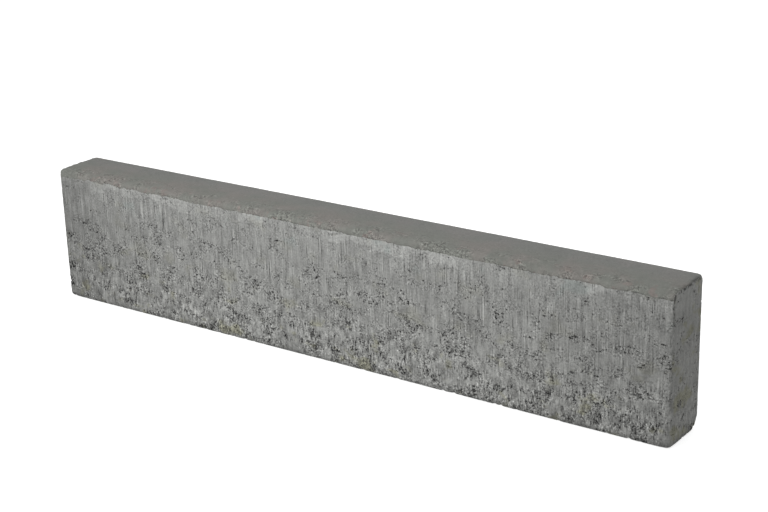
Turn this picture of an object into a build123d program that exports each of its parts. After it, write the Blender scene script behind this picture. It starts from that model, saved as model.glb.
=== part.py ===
"""Concrete kerb stone, pressed in one piece on a block machine.

Frame: millimetres, +Z up, origin at the centre of the underside. X runs along the stone,
and the front face, the one with the eased shoulder, looks towards -Y.
"""

import os

from build123d import *

# Overall size
length = 1000.0
width = 80.0
height = 200.0

# The press head closes the mould from above. It shapes the top face, the front shoulder
# and a narrow band under the shoulder, which stands back from the wall of the mould.
band_height = 10.0  # from the top face down to the lower edge of the band
band_setback = 0.8  # from the front face back to the band
shoulder_width = 17.0  # from the band back to where the top face is level
shoulder_drop = 4.0  # from the top face down to where the band begins
nose_radius = 2.0  # between the shoulder and the band

# Edges
corner_radius = 5.0  # the four upright edges, as the corners of the mould
back_edge_radius = 3.0  # top edge at the back
end_edge_radius = 2.0  # top edges at the two ends
foot_edge_radius = 6.0  # edges of the underside, crumbled as the stone leaves the mould

front = -width / 2
back = width / 2
band_face = front + band_setback

with BuildPart() as kerb_stone:
    # The cavity of the mould, seen from above
    with BuildSketch(Plane.XY):
        RectangleRounded(length, width, corner_radius)
    extrude(amount=height)

    # The section across the stone, with the shoulder at the front
    with BuildSketch(Plane.YZ) as section:
        with BuildLine():
            shoulder = TangentArc(
                (band_face + shoulder_width, height),
                (band_face, height - shoulder_drop),
                tangent=(-1, 0),
            )
            Polyline(
                shoulder @ 1,
                (band_face, height - band_height),
                (front, height - band_height),
                (front, 0),
                (back, 0),
                (back, height),
                shoulder @ 0,
            )
        make_face()
        fillet(section.vertices().group_by(Axis.Y)[0], foot_edge_radius)
        fillet(section.vertices().group_by(Axis.Y)[-1].sort_by(Axis.X)[-1], back_edge_radius)
        fillet(section.vertices().sort_by_distance(shoulder @ 1)[0], nose_radius)
    extrude(amount=length, both=True, mode=Mode.INTERSECT)

    # The outline along the stone, which rounds the edges of the two ends
    with BuildSketch(Plane.XZ) as long_outline:
        Rectangle(length, height, align=(Align.CENTER, Align.MIN))
        fillet(long_outline.vertices().group_by(Axis.Y)[0], foot_edge_radius)
        fillet(long_outline.vertices().group_by(Axis.Y)[-1], end_edge_radius)
    extrude(amount=width, both=True, mode=Mode.INTERSECT)

kerb_stone.part.label = "kerb_stone"

os.makedirs("parts", exist_ok=True)
export_step(kerb_stone.part, "parts/kerb_stone.step")
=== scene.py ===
"""The looks of a pressed concrete kerb stone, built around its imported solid.

Metres, in the frame of the CAD model: X along the stone, the front face towards -Y, Z up.
The patterns of the concrete are worked out in millimetres.
"""

import math
from types import SimpleNamespace

import bmesh
import bpy
import numpy as np
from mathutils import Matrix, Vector


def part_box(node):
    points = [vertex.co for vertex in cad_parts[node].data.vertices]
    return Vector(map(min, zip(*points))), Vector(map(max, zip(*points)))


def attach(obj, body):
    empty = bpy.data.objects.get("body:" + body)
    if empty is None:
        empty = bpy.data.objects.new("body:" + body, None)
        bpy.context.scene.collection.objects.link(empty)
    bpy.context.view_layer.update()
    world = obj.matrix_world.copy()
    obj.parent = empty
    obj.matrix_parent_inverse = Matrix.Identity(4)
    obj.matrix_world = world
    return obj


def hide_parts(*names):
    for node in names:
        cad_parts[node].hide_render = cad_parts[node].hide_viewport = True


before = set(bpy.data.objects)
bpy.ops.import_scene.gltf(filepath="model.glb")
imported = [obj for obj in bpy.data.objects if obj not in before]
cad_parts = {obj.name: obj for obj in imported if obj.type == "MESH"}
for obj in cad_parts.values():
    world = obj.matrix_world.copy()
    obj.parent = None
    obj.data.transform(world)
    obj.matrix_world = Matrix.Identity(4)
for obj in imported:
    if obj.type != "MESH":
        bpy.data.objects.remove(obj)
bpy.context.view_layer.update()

MM = 0.001
LOW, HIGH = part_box("kerb_stone")
LENGTH, WIDTH, HEIGHT = HIGH - LOW
FRONT, BACK, END = LOW.y, HIGH.y, HIGH.x

# Edges and the press head's marks, as in the CAD model
BAND_HEIGHT = 10 * MM
BAND_SETBACK = 0.8 * MM
SHOULDER_WIDTH = 17 * MM
SHOULDER_DROP = 4 * MM
CORNER_RADIUS = 5 * MM
FOOT_EDGE_RADIUS = 6 * MM

# The plain stone, whose foot edges start with a share of their radius and crumble to the rest
SHOULDER_FACETS = 6
CORNER_SEGMENTS = 4
FOOT_SEGMENTS = 3
FOOT_EDGE_SHARE = 0.55
REBATE_SPARE = 10 * MM
SAME_PLACE = 0.05 * MM

# Its skin, and how folds in the skin are eased
SKIN_PITCH = 1.3 * MM
MOST_TRIANGLES = 190000
FOLD_ANGLE = math.radians(95)
FOLD_PASSES = 4
FOLD_ROUNDS = 4
FOLD_EASE = 0.5

# The map of the faces, as shares of its side: the height of each row, the gap between rows, and
# where an end begins in its half of the last row and how far it reaches
MAP_ROWS = {"front": 0.172, "back": 0.137, "top": 0.0625, "under": 0.035, "ends": 0.117}
MAP_GAP = 0.006
MAP_END_START = 0.02
MAP_END_REACH = 0.46

# How far the map of half a long face goes past that half, on the stone
MAP_MARGIN = 5 * MM

# The stone in millimetres. The press line is the foot of the band, and on the other three sides
# the walls go on nearly to the top.
HALF_LENGTH = round(END / MM)
HALF_WIDTH = round(BACK / MM)
TALL = round(HEIGHT / MM)
PRESS_LINE = TALL - round(BAND_HEIGHT / MM)
WALL_TOP = TALL - 2.2

# Sizes of the marks in millimetres: the same all ways, or along, across and up the stone
PITCH = {
    "crowds of gaps": (24, 24, 13),
    "gaps": (3.3, 3.3, 3),
    "bright grains": (2.2, 2.2, 2.8),
    "grains": (2.2, 2.2, 2.6),
    "scored lines": (1.4, 1.4, 45),
    "rubbed areas": (13, 13, 26),
    "bands": (6, 6, 34),
    "dashes": (3.2, 3.2, 9.5),
    "waves": 75,
    "crumbs": (9, 9, 14),
    "chips": (7, 7, 8),
    "nicks": 4.5,
    "ragged line": (7, 400, 400),
    "swaying line": (30, 400, 400),
    "patches": 42,
    "mottle": (9, 9, 12),
    "dust": 1.2,
    "swaying strips": 11,
    "hem": (20, 20, 400),
    "curtain": (60, 60, 400),
    "torn curtain": (5, 5, 4),
    "foot": (18, 18, 60),
    "dots": 5,
    "rough top": (26, 14, 26),
    "sand on top": 3.2,
    "press_line_shadow": (6, 6, 60),
    "stains": (40, 40, 28),
    "rust": 15,
}

# Heights in millimetres, from where a change begins to where it is full
ZONES = {
    "coarse": (125, 20),
    "open": (PRESS_LINE, 112),
    "dashed": (120, 30),
    "gaps by the line": (PRESS_LINE - 9, PRESS_LINE - 4),
    "end of gaps": (PRESS_LINE + 1, PRESS_LINE - 2),
    "relief": (PRESS_LINE + 1, PRESS_LINE - 6),
    "walls": (15, 150),
    "pale band": (145, 175),
    "pale end": (155, 180),
    "soft foot": (4, 26),
    "dark foot": (11, 1),
    "corner crease": (140, 180),
    "dark left edge": (178, 140),
    "stained": (120, 30),
    "bloom": (150, 170),
}

# Air holes: pitch and middle radius in millimetres, the range of radii as shares of it, and how far
# and how finely their outlines sway
WALL_PORES = (3.6, 0.8)
TOP_PORES = (6.0, 0.9)
LEAST_PORE = 0.55
PORE_RANGE = 0.9
PORE_SWAY = 2.4
PORE_SWAY_PITCH = 2.5

# Paste that hangs from the press line: its strips, the shortest, how much longer others are, and
# how far they and their hem stray, in millimetres
STRIP_WIDTH = 34
STRIP_SWAY = 3.0
SHORTEST_STRIP = 6.0
STRIP_RANGE = 12.0
HEM_SWAY = 2.0

# Depths of the relief in millimetres
SKIN_DEPTH = 0.15
WAVE_DEPTH = 0.07
WALL_DEPTH = 0.35
GAP_DEPTH = 1.5
FLECK_HEIGHT = 0.3
CRUMB_DEPTH = 1.6
FOOT_CORNER_DEPTH = 3.0
CHIP_DEPTH = 1.2
WEAR_DEPTH = 1.7
TOP_CORNER_DEPTH = 1.5

# Colours of the concrete
WALL_GREY = (0.2615, 0.2635, 0.254, 1)
OLIVE_STAIN = (0.225, 0.2235, 0.179, 1)
COOL_BLOOM = (0.252, 0.2665, 0.256, 1)
TOP_GREEN = (0.1985, 0.2045, 0.1855, 1)
TOP_WARM = (0.2095, 0.2005, 0.1855, 1)
TOP_GREY = (0.201, 0.2025, 0.1965, 1)
RUST = (0.222, 0.1995, 0.184, 1)

# The studio, and each lamp's place, aim, side and power
SKY_LIGHT = 0.42
WHITE = (1, 1, 1, 1)
FLOOR_SIDE = 16
FLOOR_GREY = (0.7, 0.7, 0.7, 1)
FLOOR_GLOW = 0.75
LAMPS = {
    "key": ((-0.2, -1.15, 0.95), (-0.1, 0, 0.1), 0.7, 11),
    "overhead": ((0.5, 0.0, 3.0), (0, 0, 0), 2.0, 7),
    "rear_fill": ((-0.1, 1.9, 0.7), (0, 0, 0.1), 1.2, 9),
}
CAMERA_PLACE = (1.2572, -1.6534, 0.8709)
CAMERA_TURN = (70.617, 1.498, 35.333)
CAMERA_LENS = 76.79
CAMERA_SENSOR = 36

# How far the noise of each detail strays from its middle, and how rough it is
NOISE_SPREAD = {1: 0.104, 2: 0.09, 3: 0.08}
NOISE_ROUGHNESS = 0.55


# Handling objects

def only(piece):
    """Selects this object alone and makes it the active one."""
    bpy.ops.object.select_all(action="DESELECT")
    piece.select_set(True)
    bpy.context.view_layer.objects.active = piece


def settle(piece):
    """Puts the object's place and size into its mesh."""
    only(piece)
    bpy.ops.object.transform_apply(location=True, rotation=True, scale=True)


def finish_with(piece, kind, **settings):
    """Adds a modifier and applies it."""
    only(piece)
    modifier = piece.modifiers.new(kind.lower(), kind)
    for name, value in settings.items():
        setattr(modifier, name, value)
    bpy.ops.object.modifier_apply(modifier=modifier.name)


def pick_edges(piece, wanted):
    """In edit mode, selects the edges whose two ends both pass the test."""
    bpy.ops.mesh.select_mode(type="EDGE")
    bpy.ops.mesh.select_all(action="DESELECT")
    shape = bmesh.from_edit_mesh(piece.data)
    for edge in shape.edges:
        edge.select_set(all(wanted(v.co) for v in edge.verts))
    bmesh.update_edit_mesh(piece.data)


def near(value, target):
    return abs(value - target) < SAME_PLACE


def block(name, low, high):
    """A box between two corners, as a start for shaping."""
    bpy.ops.object.select_all(action="DESELECT")
    middle = (Vector(low) + Vector(high)) / 2
    bpy.ops.mesh.primitive_cube_add(size=1, location=middle, scale=Vector(high) - Vector(low))
    piece = bpy.context.object
    piece.name = name
    settle(piece)
    return piece


def read(items, name, width):
    """One property of all the vertices, corners or faces of a mesh, as rows of this width."""
    values = np.empty(len(items) * width)
    items.foreach_get(name, values)
    return values.reshape(-1, width)


# Nodes, for the material and for the relief alike

def put(tree, kind, inputs=None, **settings):
    """Adds a node, sets it up and joins its inputs."""
    node = tree.nodes.new(kind)
    for name, value in settings.items():
        setattr(node, name, value)
    for name, value in (inputs or {}).items():
        if isinstance(value, bpy.types.NodeSocket):
            tree.links.new(value, node.inputs[name])
        else:
            node.inputs[name].default_value = value
    return node


def sums(tree, operation, *values):
    """A Math node on up to three values."""
    return put(tree, "ShaderNodeMath", dict(enumerate(values)), operation=operation).outputs[0]


def product(tree, first, *others):
    for other in others:
        first = sums(tree, "MULTIPLY", first, other)
    return first


def plus(tree, start, value, share):
    """start + value * share"""
    return sums(tree, "MULTIPLY_ADD", value, share, start)


def plus_marks(tree, start, area, marks):
    """Adds each mark by a share of it, which grows over the area by a further share."""
    for mark, share, growth in marks:
        start = plus(tree, start, mark, plus(tree, share, area, growth))
    return start


def fade(tree, value, start, end, low=0.0, high=1.0):
    """A smooth step from low at start to high at end."""
    inputs = {"Value": value, "From Min": start, "From Max": end, "To Min": low, "To Max": high}
    return put(tree, "ShaderNodeMapRange", inputs, interpolation_type="SMOOTHSTEP").outputs[0]


def between(tree, share, first, second):
    """A number that goes from the first to the second as the share goes from 0 to 1."""
    return put(tree, "ShaderNodeMix", {0: share, 2: first, 3: second}, data_type="FLOAT").outputs[0]


def blend(tree, share, first, second):
    """The same for colours."""
    return put(tree, "ShaderNodeMix", {0: share, 6: first, 7: second}, data_type="RGBA").outputs[2]


def lit(tree, colour, light):
    """A colour made lighter or darker."""
    inputs = {0: colour, "Scale": light}
    return put(tree, "ShaderNodeVectorMath", inputs, operation="SCALE").outputs[0]


def stretched(tree, vector, factors):
    return put(tree, "ShaderNodeVectorMath", {0: vector, 1: factors}, operation="MULTIPLY").outputs[0]


def in_millimetres(tree, place):
    return stretched(tree, place, (1 / MM,) * 3)


def axes(tree, vector):
    return put(tree, "ShaderNodeSeparateXYZ", {0: vector}).outputs


def insets(tree, place):
    """How far in from the nearer end and from the left, front, back and top a place in mm lies."""
    x, y, z = axes(tree, place)
    return SimpleNamespace(
        end=sums(tree, "SUBTRACT", HALF_LENGTH, sums(tree, "ABSOLUTE", x)),
        left=sums(tree, "ADD", HALF_LENGTH, x),
        front=sums(tree, "ADD", HALF_WIDTH, y),
        back=sums(tree, "SUBTRACT", HALF_WIDTH, y),
        top=sums(tree, "SUBTRACT", TALL, z),
    )


def apart(tree, first, second):
    """The distance to an edge, from the distances to the two faces that meet there."""
    return sums(tree, "SQRT", plus(tree, sums(tree, "MULTIPLY", first, first), second, second))


def lumps(tree, place, mark, detail=2):
    """Noise with lumps of the mark's size, mostly from -2 to 2."""
    pitch = PITCH[mark]
    sizes = pitch if isinstance(pitch, tuple) else (pitch,) * 3
    inputs = {
        "Vector": stretched(tree, place, tuple(1 / s for s in sizes)),
        "Scale": 1.0,
        "Detail": float(detail),
        "Roughness": NOISE_ROUGHNESS,
    }
    gain = 1 / NOISE_SPREAD[detail]
    return plus(tree, -0.5 * gain, put(tree, "ShaderNodeTexNoise", inputs).outputs[0], gain)


def pores(tree, place, pitch, radius, share):
    """Air holes: cells of a set pitch, of which a share is open. How deep inside a hole, in mm."""
    inputs = {"Vector": place, "Scale": 1 / PORE_SWAY_PITCH, "Detail": 2.0}
    sway = put(tree, "ShaderNodeTexNoise", inputs).outputs[1]
    inputs = {0: sway, 1: (PORE_SWAY,) * 3, 2: place}
    moved = put(tree, "ShaderNodeVectorMath", inputs, operation="MULTIPLY_ADD").outputs[0]
    inputs = {"Vector": stretched(tree, moved, (1 / pitch,) * 3), "Scale": 1.0}
    cells = put(tree, "ShaderNodeTexVoronoi", inputs)
    chance = axes(tree, cells.outputs["Color"])
    reach = plus(tree, LEAST_PORE * radius, chance[1], PORE_RANGE * radius)
    inside = plus(tree, reach, cells.outputs["Distance"], -pitch)
    closed = sums(tree, "GREATER_THAN", chance[0], share)
    return plus(tree, inside, closed, -2.0 * pitch)


def group(name, tree_kind, inputs, outputs):
    """An empty node group and its two ends. Inputs are vectors, and outputs are numbers."""
    tree = bpy.data.node_groups.new(name, tree_kind)
    for title in inputs:
        tree.interface.new_socket(title, in_out="INPUT", socket_type="NodeSocketVector")
    for title in outputs:
        tree.interface.new_socket(title, in_out="OUTPUT", socket_type="NodeSocketFloat")
    return tree, put(tree, "NodeGroupInput").outputs, put(tree, "NodeGroupOutput").inputs


def concrete_pattern(tree_kind):
    """What a dry mix leaves on the walls of the mould, from a place in millimetres.

    Void is 1 in the cores of the open gaps between the grains, where the walls get painted shade, Dip
    is 1 where they are sunk, and Fleck is 1 on the bright grains beside them. Drag is the upright smear
    of the mould's walls, Grain is the sand, and Coarse is 1 near the foot.
    """
    names = ("Void", "Dip", "Fleck", "Drag", "Grain", "Coarse")
    titles = {"ShaderNodeTree": "concrete_pattern", "GeometryNodeTree": "concrete_relief"}
    tree, given, result = group(titles[tree_kind], tree_kind, ["Place"], names)
    place = given["Place"]
    x, _, z = axes(tree, place)
    along = sums(tree, "ABSOLUTE", x)
    calm = fade(tree, along, HALF_LENGTH - 6, HALF_LENGTH - 1, 1.0, 0.4)
    coarse = product(tree, fade(tree, z, *ZONES["coarse"]), calm)
    open_part = product(tree, fade(tree, z, *ZONES["open"]), calm)

    # Gaps come in crowds, with few of them high up and more by the upright edges and the press line
    crowd = lumps(tree, place, "crowds of gaps", 3)
    by_edge = fade(tree, along, HALF_LENGTH - 20, HALF_LENGTH - 6)
    by_edge = product(tree, by_edge, fade(tree, along, HALF_LENGTH - 0.4, HALF_LENGTH - 2))
    by_line = fade(tree, z, *ZONES["gaps by the line"])
    by_line = product(tree, by_line, fade(tree, z, *ZONES["end of gaps"]), calm)
    level = plus(tree, plus(tree, -2.65, open_part, 0.95), coarse, 0.25)
    level = plus(tree, plus(tree, level, by_edge, 0.45), by_line, 0.6)
    below = sums(tree, "SUBTRACT", plus(tree, level, crowd, 0.65), lumps(tree, place, "gaps"))
    share = product(tree, fade(tree, crowd, -0.8, 1.8, 0.1, 0.5), plus(tree, 0.2, open_part, 0.8))
    hole = sums(tree, "MAXIMUM", below, pores(tree, place, *WALL_PORES, share))
    void = fade(tree, hole, 0.1, 0.7)
    dip = fade(tree, hole, -0.5, 0.7)

    # Grains stand out among the gaps, and the paste between the crowds is smoother
    stirred = fade(tree, plus(tree, crowd, coarse, 0.5), -1.2, 1.0)
    bright = fade(tree, lumps(tree, place, "bright grains", 1), 0.7, 1.8)
    fleck = product(tree, bright, stirred, open_part, sums(tree, "SUBTRACT", 1.0, void))
    grain = product(tree, lumps(tree, place, "grains"), plus(tree, 0.45, stirred, 0.7))

    # Fine lines where the mould rubbed the paste, and short dashes on the grains lower down
    lines = lumps(tree, place, "scored lines", 1)
    scored = sums(tree, "SUBTRACT", fade(tree, lines, 0.2, 1.7), fade(tree, lines, -0.5, -2.0))
    rubbed = fade(tree, lumps(tree, place, "rubbed areas"), -0.8, 1.5, 0.12, 1.0)
    upright = plus(tree, product(tree, scored, rubbed, 2.2), lumps(tree, place, "bands"), 0.26)
    broken = product(tree, fade(tree, z, *ZONES["dashed"]), plus(tree, 0.25, stirred, 0.75))
    drag = between(tree, broken, upright, lumps(tree, place, "dashes"))
    for title, value in zip(names, (void, dip, fleck, drag, grain, coarse)):
        tree.links.new(value, result[title])
    return tree


def pattern_at(tree, place, node_kind):
    """The outputs of the concrete's pattern at a place in millimetres."""
    pattern = put(tree, node_kind, node_tree=concrete_pattern(tree.bl_idname))
    tree.links.new(place, pattern.inputs["Place"])
    return pattern.outputs


# The stone

def cast_body():
    """The plain stone: a block with its edges eased, the shoulder planed and the band set back."""
    stone = block("pressed_kerb", LOW, HIGH)
    bpy.ops.object.mode_set(mode="EDIT")
    radius = (SHOULDER_WIDTH**2 + SHOULDER_DROP**2) / (2 * SHOULDER_DROP)
    level = FRONT + BAND_SETBACK + SHOULDER_WIDTH
    turn = math.asin(SHOULDER_WIDTH / radius)
    for i in range(SHOULDER_FACETS):
        angle = turn * (i + 0.5) / SHOULDER_FACETS
        slope = Vector((0, -math.sin(angle), math.cos(angle)))
        touch = Vector((0, level, HEIGHT - radius)) + slope * radius
        bpy.ops.mesh.select_all(action="SELECT")
        bpy.ops.mesh.bisect(plane_co=touch, plane_no=slope, use_fill=True, clear_outer=True)
    pick_edges(stone, lambda p: near(abs(p.x), END) and (near(p.y, BACK) or near(p.y, FRONT)))
    bpy.ops.mesh.bevel(offset=CORNER_RADIUS, segments=CORNER_SEGMENTS, affect="EDGES")
    pick_edges(stone, lambda p: near(p.z, 0))
    foot_edge = FOOT_EDGE_RADIUS * FOOT_EDGE_SHARE
    bpy.ops.mesh.bevel(offset=foot_edge, segments=FOOT_SEGMENTS, affect="EDGES")
    bpy.ops.object.mode_set(mode="OBJECT")
    rebate = block(
        "rebate",
        (-LENGTH, FRONT - REBATE_SPARE, HEIGHT - BAND_HEIGHT),
        (LENGTH, FRONT + BAND_SETBACK, HEIGHT + REBATE_SPARE),
    )
    finish_with(stone, "BOOLEAN", operation="DIFFERENCE", object=rebate, solver="EXACT")
    bpy.data.objects.remove(rebate)
    finish_with(stone, "REMESH", mode="VOXEL", voxel_size=SKIN_PITCH, adaptivity=0)
    return stone


def skin_depth(tree, place, normal):
    """Slow waves of the faces and, on the walls, the open gaps, the smears and the sand."""
    tilt = sums(tree, "ABSOLUTE", axes(tree, normal)[2])
    height = axes(tree, place)[2]
    wall = product(tree, fade(tree, tilt, 0.75, 0.35), fade(tree, height, *ZONES["relief"]))
    pattern = pattern_at(tree, place, "GeometryNodeGroup")
    hollow = plus(tree, WALL_DEPTH, pattern["Dip"], GAP_DEPTH)
    hollow = plus(tree, hollow, pattern["Fleck"], -FLECK_HEIGHT)
    raised = ((pattern["Drag"], -0.02, -0.1), (pattern["Grain"], -0.02, -0.12))
    hollow = plus_marks(tree, hollow, pattern["Coarse"], raised)
    depth = plus(tree, SKIN_DEPTH, lumps(tree, place, "waves"), WAVE_DEPTH)
    return plus(tree, depth, hollow, wall)


def worn_edges(tree, place, depth):
    """Adds to the depth what the edges have lost.

    The foot crumbled as the stone left the mould, most at its back corners. The upright edges
    lost small chips, and the top edges of the ends and the back are worn round.
    """
    _, y, z = axes(tree, place)
    inset = insets(tree, place)
    side = sums(tree, "MINIMUM", inset.front, inset.back)
    crumbs = lumps(tree, place, "crumbs", 3)
    chips = lumps(tree, place, "chips")

    foot_edge = fade(tree, apart(tree, sums(tree, "MINIMUM", inset.end, side), z), 10, 2)
    foot_corner = fade(tree, apart(tree, apart(tree, inset.end, side), z), 20, 5)
    foot_corner = product(tree, foot_corner, fade(tree, y, -15, 15, 0.25, 1.0))
    upright_edge = fade(tree, apart(tree, inset.end, side), 6, 2)
    top_edge = apart(tree, sums(tree, "MINIMUM", inset.end, inset.back), inset.top)
    top_edge = fade(tree, top_edge, 5, 0.3)
    top_corner = fade(tree, apart(tree, apart(tree, inset.end, inset.back), inset.top), 9, 1)
    nicks = fade(tree, lumps(tree, place, "nicks"), 0.2, 1.8)
    worn = plus(tree, fade(tree, chips, -1.6, 1.8, 0.2, 1.0), nicks, 0.8)

    for loss, most in (
        (product(tree, foot_edge, fade(tree, crumbs, 0.4, 2.4)), CRUMB_DEPTH),
        (product(tree, foot_corner, fade(tree, crumbs, -2.5, 2.5, 0.6, 1.0)), FOOT_CORNER_DEPTH),
        (product(tree, upright_edge, fade(tree, chips, 0.6, 2.4)), CHIP_DEPTH),
        (product(tree, top_edge, worn), WEAR_DEPTH),
        (top_corner, TOP_CORNER_DEPTH),
    ):
        depth = plus(tree, depth, loss, most)
    return depth


def relief_nodes():
    """Sinks each point of the skin along its normal, by the depth of the relief there."""
    tree = bpy.data.node_groups.new("cast_relief", "GeometryNodeTree")
    for way in ("INPUT", "OUTPUT"):
        tree.interface.new_socket("Geometry", in_out=way, socket_type="NodeSocketGeometry")
    skin = put(tree, "NodeGroupInput").outputs[0]
    place = in_millimetres(tree, put(tree, "GeometryNodeInputPosition").outputs[0])
    normal = put(tree, "GeometryNodeInputNormal").outputs[0]
    depth = worn_edges(tree, place, skin_depth(tree, place, normal))
    depth = sums(tree, "MAXIMUM", depth, 0.0)
    inputs = {0: normal, "Scale": product(tree, depth, -MM)}
    offset = put(tree, "ShaderNodeVectorMath", inputs, operation="SCALE").outputs[0]
    moved = put(tree, "GeometryNodeSetPosition", {"Geometry": skin, "Offset": offset})
    tree.links.new(moved.outputs[0], put(tree, "NodeGroupOutput").inputs[0])
    return tree


def ease_folds(stone):
    """Smooths the few places where the relief folds the skin back on itself."""
    shape = bmesh.new()
    shape.from_mesh(stone.data)
    folded = {v.index for e in shape.edges if e.calc_face_angle(0) > FOLD_ANGLE for v in e.verts}
    shape.free()
    stone.vertex_groups.new(name="folds").add(sorted(folded), 1, "REPLACE")
    finish_with(stone, "SMOOTH", factor=FOLD_EASE, iterations=FOLD_ROUNDS, vertex_group="folds")
    stone.vertex_groups.clear()


def weather(stone):
    """Presses the relief into the skin, takes triangles from where it is flat and eases the folds."""
    finish_with(stone, "NODES", node_group=relief_nodes())
    finish_with(stone, "TRIANGULATE")
    finish_with(stone, "DECIMATE", ratio=min(1, MOST_TRIANGLES / len(stone.data.polygons)))
    for _ in range(FOLD_PASSES):
        ease_folds(stone)
    mesh = stone.data
    place = np.clip(read(mesh.vertices, "co", 3), np.array(LOW), np.array(HIGH))
    mesh.vertices.foreach_set("co", place.ravel())
    only(stone)
    bpy.ops.object.shade_smooth()


def lay_out(stone):
    """Maps the faces in rows: each long face as two halves, and the two ends side by side.

    A triangle belongs to the face that its middle lies nearest to, so no face is broken up by
    its relief.
    """
    mesh = stone.data
    x, y, z = read(mesh.polygons, "center", 3).T
    nearest = np.argmin([y - FRONT, BACK - y, HEIGHT - z, z, END - abs(x)], axis=0)
    face = np.repeat(nearest, 3)
    right = np.repeat(x > 0, 3)
    corners = read(mesh.loops, "vertex_index", 1).astype(int).ravel()
    x, y, z = read(mesh.vertices, "co", 3)[corners].T

    half = LENGTH / 2
    along = (np.where(right, x, x + half) + MAP_MARGIN) / (half + 2 * MAP_MARGIN)
    across = (y - FRONT) / WIDTH
    up = z / HEIGHT
    u = np.clip(along, 0, 1)
    v = np.zeros_like(u)
    bottom = MAP_GAP
    long_faces = {"front": up, "back": up, "top": across, "under": across}
    for number, (name, share) in enumerate(long_faces.items()):
        row = MAP_ROWS[name]
        on_face = face == number
        low = bottom + np.where(right, row + MAP_GAP, 0)
        v[on_face] = (low + share * row)[on_face]
        bottom += 2 * (row + MAP_GAP)
    on_end = face == len(long_faces)
    u[on_end] = (MAP_END_START + MAP_END_REACH * up + np.where(right, 1 / 2, 0))[on_end]
    v[on_end] = (bottom + across * MAP_ROWS["ends"])[on_end]
    layer = mesh.uv_layers.new(name="OFBake")
    layer.data.foreach_set("uv", np.stack([u, v], axis=1).ravel())


# The concrete

def end_faces(tree, place):
    """1 on the two ends."""
    return fade(tree, insets(tree, place).end, 2.5, 1)


def by_front(tree, place):
    """1 on the front part of the top."""
    return fade(tree, insets(tree, place).front, 30, 5)


def below_press_line(tree, place):
    """How far below the ragged line between the walls and the pressed top a place lies, in mm."""
    inset = insets(tree, place)
    ragged = fade(tree, inset.left, 80, 440, 0.8, 0.35)
    sway = fade(tree, inset.end, 350, 80, 0.1, 0.5)
    line = plus(tree, PRESS_LINE, lumps(tree, place, "ragged line", 3), ragged)
    line = plus(tree, line, lumps(tree, place, "swaying line"), sway)
    line = sums(tree, "ADD", line, fade(tree, inset.front, 30, 50, 0.0, 8.0))
    line = sums(tree, "MAXIMUM", line, product(tree, end_faces(tree, place), WALL_TOP))
    line = sums(tree, "MINIMUM", line, WALL_TOP)
    return sums(tree, "SUBTRACT", line, axes(tree, place)[2])


def hanging_paste(tree, place, below):
    """Paste smeared down from the press line, in curtains with a stepped and ragged hem."""
    jitter = plus(tree, axes(tree, place)[0], lumps(tree, place, "swaying strips"), STRIP_SWAY)
    inputs = {"W": product(tree, jitter, 1 / STRIP_WIDTH), "Scale": 1.0}
    strips = put(tree, "ShaderNodeTexVoronoi", inputs, voronoi_dimensions="1D")
    chance = axes(tree, strips.outputs["Color"])[0]
    hem = plus(tree, SHORTEST_STRIP, chance, STRIP_RANGE)
    hem = plus(tree, hem, lumps(tree, place, "hem", 3), HEM_SWAY)
    curtain = fade(tree, sums(tree, "SUBTRACT", hem, below), -0.6, 0.8)
    thick = fade(tree, lumps(tree, place, "curtain"), -0.6, 1.0, 0.2, 1.0)
    torn = fade(tree, lumps(tree, place, "torn curtain"), -1.8, 1.2, 0.3, 1.0)
    off_ends = sums(tree, "SUBTRACT", 1.0, end_faces(tree, place))
    return product(tree, curtain, product(tree, thick, torn, off_ends))


def shade(tree, place):
    """Painted shade at the foot, towards the ends and more so the left one, in the crease round an
    end's top and a little on the ends; darker also in dots along the left and back upright edges.
    """
    z = axes(tree, place)[2]
    inset = insets(tree, place)
    on_end = end_faces(tree, place)
    dots = fade(tree, lumps(tree, place, "dots"), -0.8, 1.4)

    # Painted shade along the foot, where the lower edge turns under towards the floor
    foot = plus(tree, z, lumps(tree, place, "foot", 3), -1.1)
    foot = fade(tree, foot, *ZONES["dark foot"])
    # Painted shade where the light falls off towards both ends, and more towards the left end
    end_falloff_shade = product(tree, fade(tree, inset.end, 250, 10), fade(tree, inset.end, 0.4, 3))
    left_falloff_shade = fade(tree, inset.left, 110, 10)

    # Painted shade in the crease round an end's top and down the upper part of its front corner
    corner_crease_shade = product(tree, fade(tree, z, *ZONES["corner crease"]), fade(tree, inset.front, 6, 3))
    crease_shade = sums(tree, "MAXIMUM", fade(tree, inset.top, 6.5, 4.5), corner_crease_shade)
    crease_shade = product(tree, crease_shade, dots, on_end)

    # Darker in dots along the left upright edge by the front and along the back upright edges
    left_edge = product(tree, fade(tree, inset.left, 6, 2), fade(tree, inset.front, 7, 3))
    left_edge = product(tree, left_edge, fade(tree, z, *ZONES["dark left edge"]))
    back_edge = product(tree, fade(tree, inset.back, 5, 1.5), fade(tree, inset.end, 10, 4))
    dark_edge = product(tree, sums(tree, "MAXIMUM", left_edge, back_edge), dots)

    # Each painted shade, and the dark edges, darken the walls by a share; the ends get a little painted
    # shade
    light = 1.0
    for place_of_shade, darkness in (
        (foot, 0.34),
        (end_falloff_shade, 0.14),
        (left_falloff_shade, 0.12),
        (crease_shade, 0.75),
        (dark_edge, 0.5),
        (on_end, 0.03),
    ):
        light = product(tree, plus(tree, 1.0, place_of_shade, -darkness), light)
    return light


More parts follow.
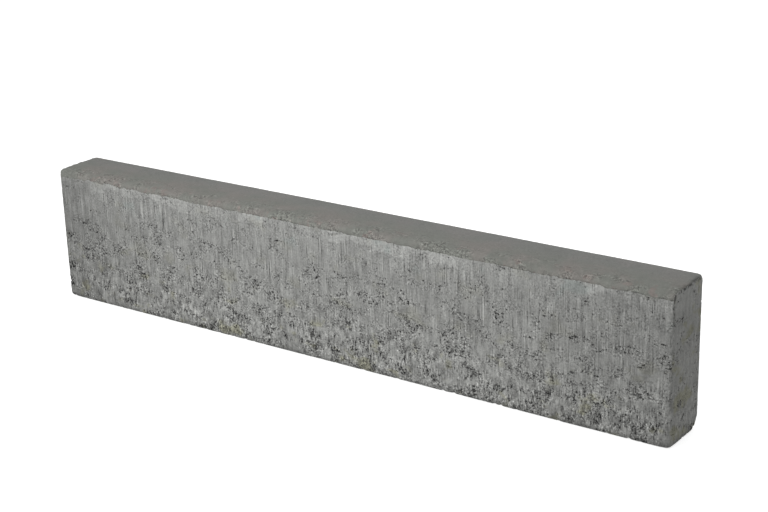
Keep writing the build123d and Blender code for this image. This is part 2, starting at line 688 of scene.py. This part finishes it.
def wall_light(tree, place, pattern, below):
    """Light and dark of the walls, as a factor on their colour, painted shade included."""
    z = axes(tree, place)[2]
    on_end = end_faces(tree, place)
    coarse = pattern["Coarse"]
    soft = product(tree, plus(tree, 1.0, on_end, -0.35), fade(tree, z, *ZONES["soft foot"], 0.7, 1.0))
    light = fade(tree, z, *ZONES["walls"], 1.11, 1.07)
    light = plus(tree, light, fade(tree, z, *ZONES["pale band"]), 0.05)
    light = plus_marks(tree, light, coarse, (
        (product(tree, pattern["Drag"], soft), 0.29, 0.055),
        (lumps(tree, place, "mottle"), 0.06, 0.11),
        (product(tree, pattern["Grain"], soft), 0.19, 0.13),
        (pattern["Fleck"], 0.85, 0.2),
    ))
    light = plus(tree, light, product(tree, on_end, fade(tree, z, *ZONES["pale end"])), 0.13)
    light = plus(tree, light, hanging_paste(tree, place, below), 0.42)
    # Painted shade in the cores of the open gaps, a little less dark near the foot
    gap_shade = plus(tree, 1.0, pattern["Void"], plus(tree, -0.85, coarse, 0.11))
    return product(tree, light, gap_shade, shade(tree, place))


def wall_colour(tree, place):
    """Grey, with olive stains that are mostly low down or on the ends, and a cool bloom high up."""
    z = axes(tree, place)[2]
    on_end = end_faces(tree, place)
    stain = fade(tree, plus(tree, lumps(tree, place, "stains", 3), on_end, 0.6), 0.7, 2.1)
    low_down = fade(tree, z, *ZONES["stained"], 0.2, 1.0)
    stain = product(tree, stain, sums(tree, "MAXIMUM", low_down, on_end))
    bloom = fade(tree, lumps(tree, place, "patches"), 1.1, 2.0)
    bloom = product(tree, bloom, fade(tree, z, *ZONES["bloom"]))
    return blend(tree, bloom, blend(tree, stain, WALL_GREY, OLIVE_STAIN), COOL_BLOOM)


def rough_patches(tree, place):
    """Where the pressed top is rough: in patches, most of them by the front."""
    rough = fade(tree, lumps(tree, place, "rough top"), -1.2, 1.6, 0.05, 1.7)
    return product(tree, rough, plus(tree, 0.12, by_front(tree, place), 0.88))


def top_light(tree, place, below, rough, speck):
    """Light and dark of the pressed top: close grain, painted light towards the front edge, painted
    shade in the pores and a painted shadow line just above the press line.
    """
    front = by_front(tree, place)
    light = plus(tree, 1.0, lumps(tree, place, "patches"), 0.02)
    # Painted light: the top lighter towards its front edge, where the shoulder turns to the lamps
    light = plus(tree, light, front, 0.06)
    light = plus_marks(tree, light, front, ((lumps(tree, place, "mottle"), 0.012, 0.03),))
    light = plus_marks(tree, light, rough, (
        (lumps(tree, place, "dust", 1), 0.035, 0.095),
        (lumps(tree, place, "sand on top"), 0.015, 0.135),
    ))
    # Painted shade in the pores of the top
    light = plus(tree, light, speck, -0.3)
    # Painted shadow in a thin broken line just above the press line, at the step of the band
    press_line_shadow = fade(tree, lumps(tree, place, "press_line_shadow"), -0.8, 1.6, 0.25, 1.0)
    press_line_shadow = product(tree, fade(tree, below, -1.9, -0.5), press_line_shadow)
    return plus(tree, light, press_line_shadow, -0.4)


def top_colour(tree, place):
    """Faint green and warm patches, greyer to the back, and a few rusty ones by the front."""
    warm = fade(tree, lumps(tree, place, "patches"), -1.3, 1.3)
    to_back = fade(tree, insets(tree, place).front, 25, 65, 0.0, 0.6)
    rust = fade(tree, lumps(tree, place, "rust"), 1.1, 2.0)
    rust = product(tree, rust, by_front(tree, place))
    colour = blend(tree, to_back, blend(tree, warm, TOP_GREEN, TOP_WARM), TOP_GREY)
    return blend(tree, rust, colour, RUST)


def fine_relief(tree, place, pattern, wall, speck):
    """Relief too fine for the mesh, in millimetres."""
    marks = ((pattern["Drag"], 0.06, 0.07), (pattern["Grain"], 0.03, 0.09))
    height = plus_marks(tree, 0.0, pattern["Coarse"], marks)
    height = plus(tree, height, pattern["Fleck"], 0.25)
    height = product(tree, plus(tree, height, pattern["Dip"], -0.9), wall)
    height = plus(tree, height, lumps(tree, place, "dust", 1), 0.012)
    return plus(tree, height, speck, -0.3)


def concrete():
    """Grey pressed concrete: smeared and open on the walls of the mould, close and smooth on top."""
    material = bpy.data.materials.new("pressed_concrete")
    material.use_nodes = True
    tree = material.node_tree
    shader = tree.nodes["Principled BSDF"]
    place = in_millimetres(tree, put(tree, "ShaderNodeTexCoord").outputs["Object"])
    pattern = pattern_at(tree, place, "ShaderNodeGroup")
    below = below_press_line(tree, place)
    wall = fade(tree, below, -0.4, 0.4)
    rough = rough_patches(tree, place)
    # The top's pores: painted shade in top_light, and dips in the bump
    speck = fade(tree, pores(tree, place, *TOP_PORES, plus(tree, 0.03, rough, 0.17)), -0.3, 0.5)

    on_top = lit(tree, top_colour(tree, place), top_light(tree, place, below, rough, speck))
    on_walls = lit(tree, wall_colour(tree, place), wall_light(tree, place, pattern, below))
    tree.links.new(blend(tree, wall, on_top, on_walls), shader.inputs["Base Color"])

    height = fine_relief(tree, place, pattern, wall, speck)
    bump = put(tree, "ShaderNodeBump", {"Height": height, "Strength": 1.0, "Distance": MM})
    tree.links.new(bump.outputs[0], shader.inputs["Normal"])

    # Rubbed paste and the pressed top are smoother than the open gaps
    wall_finish = plus(tree, plus(tree, 0.88, pattern["Dip"], 0.1), pattern["Drag"], -0.03)
    finish = between(tree, wall, plus(tree, 0.85, rough, 0.04), wall_finish)
    tree.links.new(finish, shader.inputs["Roughness"])
    shader.inputs["Specular IOR Level"].default_value = 0.25
    return material


# The studio

def seen(tree):
    """1 for rays on which the white of the studio itself shows, and 0 for the light it gives."""
    rays = put(tree, "ShaderNodeLightPath").outputs
    mirrored = sums(tree, "MAXIMUM", rays["Is Glossy Ray"], rays["Is Transmission Ray"])
    return sums(tree, "MAXIMUM", rays["Is Camera Ray"], mirrored)


def white_world():
    world = bpy.data.worlds.new("studio_white")
    bpy.context.scene.world = world
    world.use_nodes = True
    tree = world.node_tree
    back = tree.nodes["Background"]
    back.inputs["Color"].default_value = WHITE
    tree.links.new(fade(tree, seen(tree), 0.0, 1.0, SKY_LIGHT, 1.0), back.inputs["Strength"])


def paper_floor():
    bpy.ops.object.select_all(action="DESELECT")
    bpy.ops.mesh.primitive_plane_add(size=FLOOR_SIDE)
    floor = bpy.context.object
    floor.name = "studio_floor"
    paper = bpy.data.materials.new("white_paper")
    paper.use_nodes = True
    tree = paper.node_tree
    surface = tree.nodes["Principled BSDF"].inputs
    surface["Base Color"].default_value = FLOOR_GREY
    surface["Roughness"].default_value = 0.9
    surface["Specular IOR Level"].default_value = 0.1
    surface["Emission Color"].default_value = WHITE
    tree.links.new(fade(tree, seen(tree), 0.0, 1.0, 0.0, FLOOR_GLOW), surface["Emission Strength"])
    floor.data.materials.append(paper)


def lamp(name, place, aim, side, power):
    data = bpy.data.lights.new(name, "AREA")
    data.shape = "SQUARE"
    data.size = side
    data.energy = power
    light = bpy.data.objects.new(name, data)
    light.location = place
    light.rotation_euler = (Vector(aim) - Vector(place)).to_track_quat("-Z", "Y").to_euler()
    bpy.context.scene.collection.objects.link(light)


def photo_camera():
    data = bpy.data.cameras.new("photo_camera")
    data.lens = CAMERA_LENS
    data.sensor_width = CAMERA_SENSOR
    camera = bpy.data.objects.new("photo_camera", data)
    camera.location = CAMERA_PLACE
    camera.rotation_euler = [math.radians(angle) for angle in CAMERA_TURN]
    bpy.context.scene.collection.objects.link(camera)
    bpy.context.scene.camera = camera


def studio():
    bpy.context.scene.view_settings.view_transform = "Standard"
    white_world()
    paper_floor()
    for name, settings in LAMPS.items():
        lamp(name, *settings)
    photo_camera()


stone = cast_body()
weather(stone)
lay_out(stone)
stone.data.materials.clear()
stone.data.materials.append(concrete())
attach(stone, "root")
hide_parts("kerb_stone")
studio()
